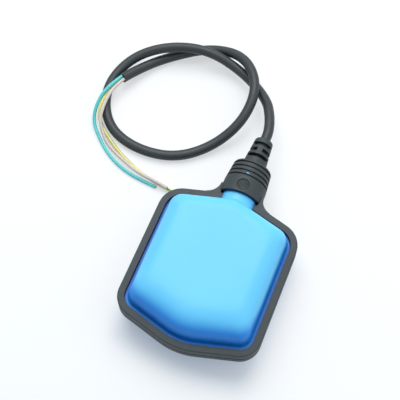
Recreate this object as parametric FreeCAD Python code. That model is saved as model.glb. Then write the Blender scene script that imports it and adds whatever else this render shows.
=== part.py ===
"""Float level switch: two blue shells, a black overmoulded rim with a ribbed
neck, a three-core cable with spread cores, and inside them a steel ball that
works a microswitch when the float tilts.

Millimetres.  The float lies flat: z = 0 is the surface under its lower dome,
+Y points from the float's tip to its cable, and the origin is under the middle
of float, neck and strain relief together.
"""
import FreeCAD
import Part
import os
from math import cos, degrees, pi, radians, sin, tan

Vector = FreeCAD.Vector
X_AXIS = Vector(1, 0, 0)
Y_AXIS = Vector(0, 1, 0)
Z_AXIS = Vector(0, 0, 1)
touch = 0.001                   # two places closer than this are the same

# ---- float body -------------------------------------------------------------
body_width = 94.6               # across the rim
body_length = 112.4             # between the sharp corners at neck and tip
body_thickness = 43.0           # over both domes
shoulder_slope = radians(15.5)  # rim beside the neck, from square
tip_slope = radians(15.5)       # rim at the tip, from square
shoulder_radius = 16.0
bottom_radius = 14.0
tip_radius = 45.0
apex_radius = 10.0              # rounding of the rim line under the neck sleeve

# ---- black rim --------------------------------------------------------------
rim_face = 4.4                  # width of the rim seen from above
rim_height = 12.0
rim_edge_radius = 0.8
parting_height = 0.9            # mould parting groove round the rim
parting_depth = 0.4
root_radius = 10.0              # hollow fillet between rim and neck sleeve
root_overlap = 2.0              # how far the fillet reaches into rim and sleeve

# ---- blue shells ------------------------------------------------------------
shell_wall = 2.0
flange_thickness = 3.3          # of each half
flange_grip = 2.3               # how far the flanges reach into the rim
ledge_width = 2.4               # flat between rim and dome foot
foot_radius = 1.5
wall_height = 3.2               # steep part of the dome above the ledge
wall_draft = 0.5                # lean of that part
side_rounding = 14.0            # sideways reach of the dome's rounding
shoulder_rounding = 12.0
tip_rounding = 21.0
dome_fullness = 2.5             # 2 rounds it as an ellipse, more makes it squarer
least_corner = 8.0              # smallest plan radius of the dome
rounding_steps = (0, 6, 14, 24, 35, 46, 57, 67, 76, 84, 90)
tongue_inset = 5.2              # locating tongue in the seam, from the rim's face
tongue_width = 1.2
tongue_height = 1.2
tongue_clearance = 0.1

# ---- neck -------------------------------------------------------------------
neck_radius = 12.3              # blue neck tube
neck_root_radius = 1.5          # hollow fillet between neck and dome
neck_shoulder_depth = 6.0       # how far the neck reaches into the sleeve at full size
spigot_radius = 11.2            # the rest of the neck, inside the sleeve
neck_bore = 8.0
neck_end_wall = 3.4             # black wall between blue neck and sleeve end
sleeve_back = 2.1               # sleeve edge, back from the sharp neck corner
sleeve_length = 25.4
sleeve_radius = 14.85
sleeve_straight = 11.0          # before it tapers
sleeve_mid_radius = 14.6
sleeve_end_radius = 13.3
sleeve_round = 2.0
ring_first = 12.6               # lowest ring groove, from the sleeve edge
ring_pitch = 3.35
ring_count = 4
ring_width = 1.2
ring_depth = 0.8
mark_place = 5.2                # plain round recess, from the sleeve edge
mark_radius = 4.25
mark_depth = 0.5
window_place = 14.3             # slot that shows a key on the blue neck
window_length = 2.5
window_width = 1.1
window_sink = 0.3               # key's top below the sleeve's surface

# ---- strain relief ----------------------------------------------------------
relief_length = 22.1            # outside the sleeve
relief_base_radius = 8.3
relief_end_radius = 6.35
relief_round = 1.6
relief_plug_length = 12.0       # inside the neck bore
relief_core_radius = 4.7        # left round the cable under the slots
slot_first = 6.8                # middle of the first slot, from the sleeve end
slot_pitch = 4.85
slot_count = 3
slot_width = 2.8
bridge_width = 3.6

# ---- cable and cores --------------------------------------------------------
cable_diameter = 7.0
core_diameter = 2.4
core_ring = 1.5                 # cores' centres, from the cable's middle
core_names = ("blue", "earth", "brown")
core_twist = radians(45.0)      # turn of the cores at the cable's cut end
cord_reach = 0.45               # share of a run that its bend takes up

# Points that the free cable and its bare cores are laid along.  The cable
# starts at the end of the strain relief, and the cores at the cable's end.
cable_route = [
    (0.0, 86.5, 21.5), (-3.5, 98.5, 20.0), (-11.0, 113.5, 15.0),
    (-34.5, 133.0, 7.0), (-64.5, 138.0, 14.0), (-94.0, 130.0, 13.5),
    (-116.5, 113.5, 8.0), (-124.5, 86.5, 3.5), (-111.0, 59.0, 3.5),
    (-86.5, 48.5, 3.5), (-56.5, 51.5, 3.5), (-34.5, 70.0, 4.0),
    (-20.0, 92.5, 14.0), (-20.0, 119.0, 20.5), (-38.5, 142.0, 15.5),
    (-66.5, 145.0, 5.5), (-91.0, 128.5, 3.5), (-106.5, 111.0, 5.0),
    (-114.0, 95.0, 9.5),
]
blue_route = [
    (-118.8, 85.5, 12.3), (-122.5, 74.0, 10.5), (-122.0, 59.0, 3.5),
    (-111.0, 47.0, 1.3), (-98.5, 37.0, 1.3), (-83.5, 30.5, 1.3),
    (-67.5, 28.0, 1.3), (-59.5, 27.5, 1.3),
]
brown_route = [
    (-117.0, 85.0, 10.3), (-117.5, 71.0, 10.4), (-115.5, 57.0, 7.5),
    (-105.0, 45.5, 1.7), (-90.5, 38.0, 3.7), (-75.5, 32.0, 3.9),
    (-59.5, 30.0, 4.6), (-51.5, 28.5, 4.2),
]
earth_route = [
    (-119.0, 85.0, 8.6), (-120.2, 70.0, 9.0), (-117.0, 59.0, 3.5),
    (-101.0, 47.0, 1.3), (-87.5, 39.5, 1.3), (-73.5, 34.0, 1.3),
    (-58.5, 31.0, 1.3), (-48.0, 30.0, 1.3),
]

# ---- ball and raceway -------------------------------------------------------
ball_radius = 9.0
ball_travel = 20.0
ball_clearance = 0.3            # to raceway, lever and end wall
raceway_wall = 1.8
raceway_floor = 2.5
lever_clearance = 0.5           # lever's tip at rest to the raceway's walls
cover_thickness = 1.8

# ---- microswitch ------------------------------------------------------------
switch_front_y = -12.0          # face that the plunger comes out of
switch_length = 27.8
switch_height = 15.9
switch_thickness = 10.3
switch_wall = 1.6
switch_lid = 1.3
chamber_half = 8.0
hole_spacing_x = 22.2
hole_spacing_y = 10.3
hole_radius = 1.55
hole_margin = 2.8               # hole's centre from the front face
plunger_x = -2.5
plunger_radius = 1.2
plunger_fit = 0.05
plunger_travel = 1.06
plunger_collar_radius = 2.1
plunger_collar_length = 1.2
working_gap = 0.3               # lever to plunger, lever to ball, plunger to blade

# ---- lever ------------------------------------------------------------------
lever_swing = radians(12.0)
lever_pin_x = -11.5
lever_pin_radius = 0.75
lever_pin_fit = 0.05
lever_barrel_radius = 1.4
lever_thickness = 0.6
lever_width = 4.5
lever_length = 21.0
lever_tip_radius = 1.5
ear_thickness = 1.6
ear_radius = 1.6
ear_gap = 0.15                  # lever barrel to each ear

# ---- blade, contacts and terminals -------------------------------------------
blade_swing = radians(3.8)
blade_pivot_x = -6.6
blade_pivot_depth = 7.5         # from the switch's front face
blade_pivot_radius = 0.7
blade_thickness = 0.3
blade_width = 3.0
blade_length = 13.2
blade_window_margin = 2.2       # pivot to window, and window to the rivet's middle
contact_radius = 1.0
contact_height = 0.6
contact_arm = 12.2              # blade pivot to contacts
contact_gap = 0.15              # closed contacts are modelled this far apart
moving_contact_half = 0.7
strip_thickness = 0.6
tab_width = 4.8
tab_length = 6.4
open_tab_x = 0.3
closed_tab_x = 7.2
strip_end_gap = 0.4
receptacle_wall = 0.5
receptacle_length = 6.0
crimp_length = 4.0
core_end_gap = 0.5              # core's end to the tab, inside the crimp

# ---- carrier, posts and screws ----------------------------------------------
carrier_edge = 0.8              # plate beyond the posts, sideways
carrier_lip = 3.3               # plate beyond the front posts
carrier_round = 4.0
post_radius = 3.2
post_x = 22.0
post_front_y = 4.0
post_rear_y = -46.0
pilot_radius = 1.2
pilot_depth = 6.0
pilot_spare = 0.6               # pilot hole left below a screw's tip
screw_radius = 1.45
screw_head_radius = 2.8
screw_head_height = 1.9
screw_head_round = 1.0
screw_point_length = 1.0
screw_tip_radius = 0.6
screw_clearance = 0.15
cross_width = 0.7
cross_length = 3.2
cross_depth = 1.0
seat_boss_radius = 2.6
cover_post_radius = 2.8
cover_post_overlap = 0.8        # how far a cover post sinks into the raceway's wall
plug_length = 11.0              # resin plug in the neck
plug_gap = 1.75                 # from the resin to the end of the strain relief

# ---- levels worked out from the sizes above ----------------------------------
mid_z = body_thickness / 2
ledge_z = mid_z + flange_thickness
dome_foot = rim_face + ledge_width
tip_reach = body_length - tip_radius * (1 / cos(tip_slope) - 1)
relief_reach = sleeve_length - sleeve_back + relief_length
apex_y = (tip_reach - relief_reach) / 2
tip_y = apex_y - body_length
sleeve_y = apex_y - sleeve_back
sleeve_end_y = sleeve_y + sleeve_length
neck_end_y = sleeve_end_y - neck_end_wall
neck_shoulder_y = sleeve_y + neck_shoulder_depth
relief_end_y = sleeve_end_y + relief_length
cable_start_y = neck_end_y - relief_plug_length
plug_end = cable_start_y - plug_gap
plug_start = plug_end - plug_length
cable_radius = cable_diameter / 2
core_radius = core_diameter / 2

lever_pin_y = switch_front_y - lever_barrel_radius - working_gap
lever_back_y = lever_pin_y - lever_barrel_radius + lever_thickness
lever_front_y = lever_pin_y - lever_barrel_radius
plunger_tip_y = lever_back_y + working_gap - plunger_travel
ball_y = lever_front_y - working_gap - ball_radius - ball_travel
raceway_half = ball_radius + ball_clearance
raceway_z = mid_z - ball_radius - ball_clearance
raceway_top = mid_z + ball_radius + ball_clearance
raceway_rear_y = ball_y - ball_radius - ball_clearance
raceway_open_y = lever_front_y - lever_length * sin(lever_swing) - lever_clearance
cover_post_x = raceway_half + raceway_wall + cover_post_radius - cover_post_overlap
carrier_z = raceway_z - raceway_floor
carrier_half = post_x + post_radius + carrier_edge
carrier_waist = cover_post_x + cover_post_radius + carrier_edge
carrier_front = post_front_y + post_radius + carrier_lip
carrier_rear_y = raceway_rear_y - raceway_wall
switch_z = mid_z - switch_thickness / 2
switch_top = switch_z + switch_thickness
switch_back_y = switch_front_y + switch_height
chamber_front_y = switch_front_y + switch_wall
chamber_back_y = switch_back_y - switch_wall
blade_pivot_y = switch_front_y + blade_pivot_depth
contact_throw = contact_arm * sin(blade_swing / 2)
contact_x = blade_pivot_x + contact_arm
closed_face_y = blade_pivot_y - contact_throw - moving_contact_half - contact_gap
open_face_y = blade_pivot_y + contact_throw + moving_contact_half + contact_gap
tab_end_y = switch_back_y + tab_length


# ---- shape helpers ------------------------------------------------------------
def rounded_wire(corners, radii, z):
    """Closed flat wire through the corners, each rounded with its own radius."""
    count = len(corners)
    starts = []
    middles = []
    ends = []
    for index, radius in enumerate(radii):
        corner = Vector(corners[index][0], corners[index][1], z)
        last = corners[index - 1]
        following = corners[(index + 1) % count]
        before = (Vector(last[0], last[1], z) - corner).normalize()
        after = (Vector(following[0], following[1], z) - corner).normalize()
        half_angle = before.getAngle(after) / 2
        bisector = (before + after).normalize()
        starts.append(corner + before * (radius / tan(half_angle)))
        ends.append(corner + after * (radius / tan(half_angle)))
        middles.append(corner + bisector * (radius / sin(half_angle) - radius))
    edges = []
    for index in range(count):
        edges.append(Part.Arc(starts[index], middles[index], ends[index]).toShape())
        edges.append(Part.LineSegment(ends[index], starts[(index + 1) % count]).toShape())
    return Part.Wire(edges)


def body_wire(z, side, shoulder, tip):
    """Six-sided body outline at height z, inset from the rim's outer face."""
    half = body_width / 2 - side
    top = apex_y - shoulder / cos(shoulder_slope)
    low = tip_y + tip / cos(tip_slope)
    shoulder_y = top - half * tan(shoulder_slope)
    bottom_y = low + half * tan(tip_slope)
    corners = [(0, low), (half, bottom_y), (half, shoulder_y),
               (0, top), (-half, shoulder_y), (-half, bottom_y)]
    bottom = max(bottom_radius - side, least_corner)
    upper = max(shoulder_radius - side, least_corner)
    radii = [tip_radius - tip, bottom, upper, apex_radius, upper, bottom]
    return rounded_wire(corners, radii, z)


def body_prism(inset, low, high):
    """Straight prism on the body outline, between two heights."""
    face = Part.Face(body_wire(low, inset, inset, inset))
    return face.extrude(Vector(0, 0, high - low))


def axis_cylinder(radius, start_y, end_y):
    """Cylinder along the neck's axis."""
    return Part.makeCylinder(radius, end_y - start_y, Vector(0, start_y, mid_z), Y_AXIS)


def axis_revolve(profile):
    """Solid of revolution about the neck's axis from edges in radius and y."""
    return Part.Face(Part.Wire(profile)).revolve(Vector(0, 0, mid_z), Y_AXIS, 360)


def at_radius(radius, y):
    """Point in the plane that the turned profiles are drawn in."""
    return Vector(radius, y, mid_z)


def polygon_edges(points):
    """Straight edges from each point to the next."""
    return [Part.LineSegment(points[i], points[i + 1]).toShape() for i in range(len(points) - 1)]


def block(x_low, x_high, y_low, y_high, z_low, z_high):
    """Box between two corners."""
    return Part.makeBox(x_high - x_low, y_high - y_low, z_high - z_low, Vector(x_low, y_low, z_low))


def post(radius, x, y, low, high):
    """Upright cylinder."""
    return Part.makeCylinder(radius, high - low, Vector(x, y, low), Z_AXIS)


def screw(x, y, seat_z, pilot_top, tip_z):
    """Pan-head screw on seat_z, its thread filling the pilot hole below pilot_top."""
    head_top = seat_z + screw_head_height
    head = post(screw_head_radius, 0, 0, seat_z, head_top)
    rim = [edge for edge in head.Edges if edge.BoundBox.ZMin > seat_z + touch]
    head = head.makeFillet(screw_head_round, rim)
    shank = post(screw_radius, 0, 0, pilot_top, seat_z)
    point_z = tip_z + screw_point_length
    thread = post(pilot_radius, 0, 0, point_z, pilot_top)
    point = Part.makeCone(screw_tip_radius, pilot_radius, screw_point_length, Vector(0, 0, tip_z))
    half = cross_length / 2
    width = cross_width / 2
    floor = head_top - cross_depth
    recess = [block(-half, half, -width, width, floor, head_top),
              block(-width, width, -half, half, floor, head_top)]
    body = head.fuse([shank, thread, point]).cut(recess)
    body.translate(Vector(x, y, 0))
    return body


def cord_tube(name, points, radius):
    """Round tube along straight runs joined by tangent arcs."""
    corners = [Vector(*point) for point in points]
    edges = []
    bends = []
    start = corners[0]
    for index in range(1, len(corners) - 1):
        corner = corners[index]
        before = corners[index - 1] - corner
        after = corners[index + 1] - corner
        reach = cord_reach * min(before.Length, after.Length)
        before.normalize()
        after.normalize()
        half_angle = before.getAngle(after) / 2
        bend = reach * tan(half_angle)
        bisector = (before + after).normalize()
        arc_start = corner + before * reach
        arc_end = corner + after * reach
        arc_middle = corner + bisector * (bend / sin(half_angle) - bend)
        edges.append(Part.LineSegment(start, arc_start).toShape())
        edges.append(Part.Arc(arc_start, arc_middle, arc_end).toShape())
        bends.append(bend)
        start = arc_end
    edges.append(Part.LineSegment(start, corners[-1]).toShape())
    path = Part.Wire(edges)
    heading = corners[1] - corners[0]
    section = Part.Wire([Part.Circle(corners[0], heading, radius).toShape()])
    tube = path.makePipeShell([section], True, False)
    whole = tube.Volume / (pi * radius * radius * path.Length)
    print(name, "length", round(path.Length, 1), "volume ratio", round(whole, 4))
    print("  bend radii", [round(bend, 1) for bend in bends])
    return tube


# ---- shells -------------------------------------------------------------------
def dome(wall):
    """Solid under the upper dome's skin, thinner by wall, down to the seam."""
    shoulder_z = ledge_z + wall_height
    top_z = body_thickness - wall
    foot = dome_foot + wall
    crest = foot + wall_draft
    low_wire = body_wire(mid_z, foot, foot, foot)
    high_wire = body_wire(shoulder_z, crest, crest, crest)
    skirt = Part.makeLoft([low_wire, high_wire], True, True)
    wires = []
    for step in rounding_steps:
        turn = radians(step)
        inward = 1 - cos(turn) ** (2 / dome_fullness)
        z = shoulder_z + (top_z - shoulder_z) * sin(turn) ** (2 / dome_fullness)
        wires.append(body_wire(z, crest + side_rounding * inward,
                               crest + shoulder_rounding * inward,
                               crest + tip_rounding * inward))
    crown = Part.makeLoft(wires, True, False)
    return skirt.fuse(crown)


def above_seam(shape):
    """Part of the shape above the seam."""
    reach = body_length + body_width
    return shape.common(block(-reach, reach, -reach, reach, mid_z, mid_z + reach))


def seam_ring(spare):
    """Ring of the locating tongue, wider and higher by spare."""
    top = mid_z + tongue_height + spare
    outer = body_prism(tongue_inset - spare, mid_z, top)
    inner = body_prism(tongue_inset + tongue_width + spare, mid_z, top)
    return outer.cut(inner)


def shell_half():
    """Upper half: dome, flange and half of the neck tube, hollowed out."""
    skin = dome(0.0)
    flange = body_prism(rim_face - flange_grip, mid_z, ledge_z)
    half = skin.fuse(flange)
    foot = [edge for edge in half.Edges if is_foot(edge)]
    half = half.makeFillet(foot_radius, foot)
    half = half.fuse(above_seam(neck_tube()))
    root = [edge for edge in half.Edges if is_neck_root(edge)]
    half = half.makeFillet(neck_root_radius, root)
    return half.cut([dome(shell_wall), axis_cylinder(neck_bore, 0.0, neck_end_y)])


def neck_tube():
    """Solid neck with its spigot, not yet bored."""
    collar = axis_cylinder(neck_radius, 0.0, neck_shoulder_y)
    return collar.fuse(axis_cylinder(spigot_radius, 0.0, neck_end_y))


def is_neck_root(edge):
    """True for the edges where the neck comes out of the dome."""
    first, last = edge.ParameterRange
    for share in (0.0, 0.5, 1.0):
        point = edge.valueAt(first + share * (last - first))
        away = Vector(point.x, 0, point.z - mid_z).Length
        if abs(away - neck_radius) > touch or point.z < ledge_z + foot_radius:
            return False
    return edge.BoundBox.YMax < apex_y


def is_foot(edge):
    """True for the edges where the dome meets the ledge."""
    box = edge.BoundBox
    level = abs(box.ZMin - ledge_z) < touch and abs(box.ZMax - ledge_z) < touch
    inner = body_prism(rim_face + ledge_width / 2, ledge_z - 1, ledge_z + 1)
    return level and inner.isInside(edge.valueAt(edge.FirstParameter), touch, True)


def upper_shell():
    """Upper shell with the groove for the seam tongue and the key in the sleeve's window."""
    top = axis_cylinder(sleeve_radius_at(window_place) - window_sink, sleeve_y, neck_end_y)
    key = neck_window().common(top).cut(axis_cylinder(neck_bore, sleeve_y, neck_end_y))
    return shell_half().fuse(key).cut(seam_ring(tongue_clearance)).removeSplitter()


def lower_half(upper):
    """Mirror image of an upper shell, below the seam."""
    return upper.mirror(Vector(0, 0, mid_z), Z_AXIS)


def lower_shell():
    """Lower shell with the seam tongue and the carrier's screw posts."""
    shell = lower_half(shell_half())
    tongue = seam_ring(0.0).cut(axis_cylinder(neck_radius, 0.0, neck_end_y))
    posts = []
    pilots = []
    for x, y in post_places():
        posts.append(post(post_radius, x, y, shell_wall / 2, carrier_z))
        pilots.append(post(pilot_radius, x, y, carrier_z - pilot_depth, carrier_z))
    return shell.fuse([tongue] + posts).cut(pilots).removeSplitter()


def post_places():
    """Places of the four posts that carry the mechanism."""
    return [(x, y) for x in (-post_x, post_x) for y in (post_rear_y, post_front_y)]


# ---- rim, neck sleeve and strain relief -----------------------------------------
def sleeve_radius_at(distance):
    """Outer radius of the sleeve at a distance from its edge."""
    if distance <= sleeve_straight:
        share = distance / sleeve_straight
        return sleeve_radius + (sleeve_mid_radius - sleeve_radius) * share
    share = (distance - sleeve_straight) / (sleeve_length - sleeve_round - sleeve_straight)
    return sleeve_mid_radius + (sleeve_end_radius - sleeve_mid_radius) * share


def neck_sleeve():
    """Solid neck sleeve with its ring grooves, not yet bored."""
    last_y = sleeve_end_y - sleeve_round
    end_flat = sleeve_end_radius - sleeve_round
    bulge = sleeve_round * sin(pi / 4)
    profile = polygon_edges([at_radius(0, sleeve_end_y), at_radius(0, sleeve_y),
                             at_radius(sleeve_radius, sleeve_y),
                             at_radius(sleeve_mid_radius, sleeve_y + sleeve_straight),
                             at_radius(sleeve_end_radius, last_y)])
    profile.append(Part.Arc(at_radius(sleeve_end_radius, last_y),
                            at_radius(end_flat + bulge, last_y + bulge),
                            at_radius(end_flat, sleeve_end_y)).toShape())
    profile.append(Part.LineSegment(at_radius(end_flat, sleeve_end_y),
                                    at_radius(0, sleeve_end_y)).toShape())
    sleeve = axis_revolve(profile)
    grooves = []
    for index in range(ring_count):
        middle = ring_first + index * ring_pitch
        start = sleeve_y + middle - ring_width / 2
        floor = sleeve_radius_at(middle) - ring_depth
        ring = axis_cylinder(sleeve_radius + 1, start, start + ring_width)
        grooves.append(ring.cut(axis_cylinder(floor, start, start + ring_width)))
    return sleeve.cut(grooves)


def root_fillet(side):
    """Web with a hollow round edge between the rim and the neck sleeve."""
    hub = sleeve_radius
    centre_x = hub + root_radius
    centre_y = apex_y - centre_x * tan(shoulder_slope) + root_radius / cos(shoulder_slope)
    lean = shoulder_slope
    on_hub = Vector(hub, centre_y, 0)
    on_rim = Vector(centre_x - root_radius * sin(lean), centre_y - root_radius * cos(lean), 0)
    toward = Vector(-cos(lean / 2) * cos(pi / 4) - sin(lean / 2) * sin(pi / 4),
                    -cos(lean / 2) * sin(pi / 4) + sin(lean / 2) * cos(pi / 4), 0)
    middle = Vector(centre_x, centre_y, 0) + toward.normalize() * root_radius
    inner_rim = on_rim + Vector(-sin(lean), -cos(lean), 0) * root_overlap
    inner_hub = Vector(hub - root_overlap, inner_rim.y, 0)
    edges = [Part.Arc(on_hub, middle, on_rim).toShape()]
    edges += polygon_edges([on_rim, inner_rim, inner_hub,
                            Vector(hub - root_overlap, centre_y, 0), on_hub])
    web = Part.Face(Part.Wire(edges)).extrude(Vector(0, 0, rim_height))
    web.translate(Vector(0, 0, mid_z - rim_height / 2))
    if side < 0:
        web = web.mirror(Vector(0, 0, 0), X_AXIS)
    return web


def rim_band():
    """Rim round the flanges with rounded edges and the parting groove."""
    low = mid_z - rim_height / 2
    high = mid_z + rim_height / 2
    band = body_prism(0.0, low, high)
    flat = [edge for edge in band.Edges if edge.BoundBox.ZLength < touch]
    band = band.makeFillet(rim_edge_radius, flat)
    half = parting_height / 2
    groove = body_prism(-1.0, mid_z - half, mid_z + half)
    groove = groove.cut(body_prism(parting_depth, mid_z - half, mid_z + half))
    return band.cut([body_prism(rim_face, low, high), groove])


def mark_recess():
    """Shallow round recess that follows the sleeve's curve."""
    y = sleeve_y + mark_place
    floor = sleeve_radius_at(mark_place) - mark_depth
    skin = axis_cylinder(sleeve_radius + 1, y - 2 * mark_radius, y + 2 * mark_radius)
    skin = skin.cut(axis_cylinder(floor, y - 2 * mark_radius, y + 2 * mark_radius))
    return skin.common(post(mark_radius, 0, y, mid_z, body_thickness))


def neck_window():
    """Small oblong slot through the top of the sleeve."""
    y = sleeve_y + window_place
    half_straight = (window_length - window_width) / 2
    half_width = window_width / 2
    ends = [post(half_width, x, y, mid_z, body_thickness) for x in (-half_straight, half_straight)]
    middle = block(-half_straight, half_straight, y - half_width, y + half_width,
                   mid_z, body_thickness)
    return middle.fuse(ends)


def rim_overmould():
    """Rim, neck sleeve and the fillets between them, moulded as one piece."""
    whole = rim_band().fuse([root_fillet(1), root_fillet(-1), neck_sleeve()])
    flange = body_prism(rim_face - flange_grip, 2 * mid_z - ledge_z, ledge_z)
    exit_hole = axis_cylinder(relief_base_radius, neck_end_y, sleeve_end_y)
    whole = whole.cut([flange, neck_tube(), exit_hole, mark_recess(), neck_window()])
    half = shell_half()
    return whole.cut([half, lower_half(half)]).removeSplitter()


def relief_slots():
    """Three levels of slots, turned a quarter from one level to the next."""
    slots = []
    for index in range(slot_count):
        start = sleeve_end_y + slot_first + index * slot_pitch - slot_width / 2
        end = start + slot_width
        ring = axis_cylinder(relief_base_radius + 1, start, end)
        ring = ring.cut(axis_cylinder(relief_core_radius, start, end))
        reach = 2 * relief_base_radius
        half = bridge_width / 2
        if index % 2 == 0:
            bridge = block(-reach, reach, start, end, mid_z - half, mid_z + half)
        else:
            bridge = block(-half, half, start, end, mid_z - reach, mid_z + reach)
        slots.append(ring.cut(bridge))
    return slots


def strain_relief():
    """Tapered slotted sleeve on the cable, with its plug inside the neck."""
    last_y = relief_end_y - relief_round
    end_flat = relief_end_radius - relief_round
    bulge = relief_round * sin(pi / 4)
    profile = polygon_edges([at_radius(cable_radius, relief_end_y),
                             at_radius(cable_radius, cable_start_y),
                             at_radius(neck_bore, cable_start_y),
                             at_radius(neck_bore, neck_end_y),
                             at_radius(relief_base_radius, neck_end_y),
                             at_radius(relief_base_radius, sleeve_end_y),
                             at_radius(relief_end_radius, last_y)])
    profile.append(Part.Arc(at_radius(relief_end_radius, last_y),
                            at_radius(end_flat + bulge, last_y + bulge),
                            at_radius(end_flat, relief_end_y)).toShape())
    profile.append(Part.LineSegment(at_radius(end_flat, relief_end_y),
                                    at_radius(cable_radius, relief_end_y)).toShape())
    return axis_revolve(profile).cut(relief_slots())


# ---- cable and cores --------------------------------------------------------------
def core_offsets(heading, twist):
    """Offset of each core in a cable that runs along heading, turned by twist."""
    side = heading.cross(Z_AXIS).normalize()
    rise = side.cross(heading).normalize()
    offsets = {}
    for index, name in enumerate(core_names):
        turn = twist + 2 * pi * index / len(core_names)
        offsets[name] = side * (core_ring * sin(turn)) + rise * (core_ring * cos(turn))
    return offsets


def cable():
    """Jacket of the cable, from inside the strain relief to its cut end."""
    inner = axis_cylinder(cable_radius, cable_start_y, relief_end_y)
    start = (0.0, relief_end_y, mid_z)
    return cord_tube("cable", [start] + cable_route, cable_radius).fuse(inner)


def bare_core(name, route):
    """One insulated core that leaves the cable's cut end."""
    last = Vector(*cable_route[-1])
    heading = (last - Vector(*cable_route[-2])).normalize()
    start = last + core_offsets(heading, core_twist)[name]
    return cord_tube("wire_" + name, [tuple(start)] + route, core_radius)


def lead(name, tab_x):
    """Core inside the float, from the cable through the resin to its connector."""
    offset = core_offsets(Y_AXIS, 0.0)[name]
    start = (offset.x, cable_start_y, mid_z + offset.z)
    turn_y = (plug_start + tab_end_y) / 2
    points = [start, (offset.x, plug_start - core_radius, mid_z + offset.z),
              (tab_x, turn_y, mid_z), (tab_x, tab_end_y + core_end_gap, mid_z)]
    return cord_tube("lead", points, core_radius)


def potting_plug(leads):
    """Resin that seals the neck bore round the three cores."""
    return axis_cylinder(neck_bore, plug_start, plug_end).cut(leads)


# ---- carrier ------------------------------------------------------------------------
def cover_post_places():
    """Places of the four posts that hold the raceway's cover."""
    rear = raceway_rear_y + cover_post_radius
    front = raceway_open_y - cover_post_radius
    return [(x, y) for x in (-cover_post_x, cover_post_x) for y in (rear, front)]


def seat_places():
    """Places of the two holes that the microswitch is screwed down through."""
    low = switch_front_y + hole_margin
    return [(-hole_spacing_x / 2, low), (hole_spacing_x / 2, low + hole_spacing_y)]


def carrier_plate():
    """Floor plate, wide at the screw posts and narrow along the raceway."""
    ear = post_radius + screw_clearance + screw_head_radius
    rear_ear = post_rear_y + ear
    front_ear = post_front_y - ear
    wide = carrier_half
    slim = carrier_waist
    corners = [(-wide, carrier_rear_y), (wide, carrier_rear_y), (wide, rear_ear),
               (slim, rear_ear), (slim, front_ear), (wide, front_ear), (wide, carrier_front),
               (-wide, carrier_front), (-wide, front_ear), (-slim, front_ear),
               (-slim, rear_ear), (-wide, rear_ear)]
    radii = [carrier_round if abs(corner[0]) == wide else carrier_round / 2
             for corner in corners]
    plate = Part.Face(rounded_wire(corners, radii, carrier_z))
    return plate.extrude(Vector(0, 0, raceway_floor))


def switch_carrier():
    """Moulded carrier: plate, raceway, cover posts and seats for the switch."""
    outer = raceway_half + raceway_wall
    walls = block(-outer, outer, carrier_rear_y, raceway_open_y, raceway_z, raceway_top)
    hollow = block(-raceway_half, raceway_half, raceway_rear_y, raceway_open_y,
                   raceway_z, raceway_top)
    extras = [walls.cut(hollow)]
    pilots = []
    for x, y in cover_post_places():
        extras.append(post(cover_post_radius, x, y, raceway_z, raceway_top))
        pilots.append(post(pilot_radius, x, y, raceway_top - pilot_depth, raceway_top))
    for x, y in seat_places():
        extras.append(post(seat_boss_radius, x, y, raceway_z, switch_z))
        pilots.append(post(pilot_radius, x, y, carrier_z, switch_z))
    holes = [post(screw_radius + screw_clearance, x, y, carrier_z, raceway_z)
             for x, y in post_places()]
    return carrier_plate().fuse(extras).cut(pilots + holes).removeSplitter()


def carrier_cover():
    """Lid over the raceway that keeps the ball in."""
    half = cover_post_x + cover_post_radius
    corners = [(-half, carrier_rear_y), (half, carrier_rear_y),
               (half, raceway_open_y), (-half, raceway_open_y)]
    plate = Part.Face(rounded_wire(corners, [cover_post_radius] * len(corners), raceway_top))
    plate = plate.extrude(Vector(0, 0, cover_thickness))
    holes = [post(screw_radius + screw_clearance, x, y, raceway_top, raceway_top + cover_thickness)
             for x, y in cover_post_places()]
    return plate.cut(holes)


def carrier_screws():
    """Screws through the carrier plate into the shell's posts."""
    tip = carrier_z - pilot_depth + pilot_spare
    return Part.makeCompound([screw(x, y, raceway_z, carrier_z, tip)
                              for x, y in post_places()])


def cover_screws():
    """Screws through the cover into the carrier's posts."""
    tip = raceway_top - pilot_depth + pilot_spare
    return Part.makeCompound([screw(x, y, raceway_top + cover_thickness, raceway_top, tip)
                              for x, y in cover_post_places()])


def switch_screws():
    """Screws through the microswitch into the carrier's seats."""
    tip = carrier_z + pilot_spare
    return Part.makeCompound([screw(x, y, switch_top, switch_z, tip)
                              for x, y in seat_places()])


# ---- microswitch ----------------------------------------------------------------------
def strip(x, y_low, y_high):
    """Upright terminal strip that runs along Y."""
    half = tab_width / 2
    return block(x - strip_thickness / 2, x + strip_thickness / 2, y_low, y_high,
                 mid_z - half, mid_z + half)


def contact(face_y, back):
    """Rivet contact whose face is at face_y, with its foot towards back."""
    axis = Vector(0, back, 0)
    return Part.makeCylinder(contact_radius, contact_height, Vector(contact_x, face_y, mid_z), axis)


def common_terminal():
    """Middle pole: a tab whose inner end carries the blade's pivot rod."""
    tab = strip(blade_pivot_x, blade_pivot_y, tab_end_y)
    reach = tab_width / 2
    rod = post(blade_pivot_radius, blade_pivot_x, blade_pivot_y, mid_z - reach, mid_z + reach)
    room = knuckle_room(working_gap)
    return tab.cut(room).fuse(rod)


def knuckle_room(spare):
    """Space for the blade's knuckle round the pivot rod."""
    half = blade_width / 2 + spare
    radius = blade_pivot_radius + lever_pin_fit + blade_thickness + spare
    return post(radius, blade_pivot_x, blade_pivot_y, mid_z - half, mid_z + half)


def open_terminal():
    """Normally open pole: tab, foot and fixed contact."""
    foot_y = open_face_y + contact_height
    half = tab_width / 2
    foot_end = closed_tab_x - strip_thickness / 2 - strip_end_gap
    foot = block(open_tab_x - strip_thickness / 2, foot_end, foot_y,
                 foot_y + strip_thickness, mid_z - half, mid_z + half)
    return strip(open_tab_x, foot_y, tab_end_y).fuse([foot, contact(open_face_y, 1)])


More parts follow.
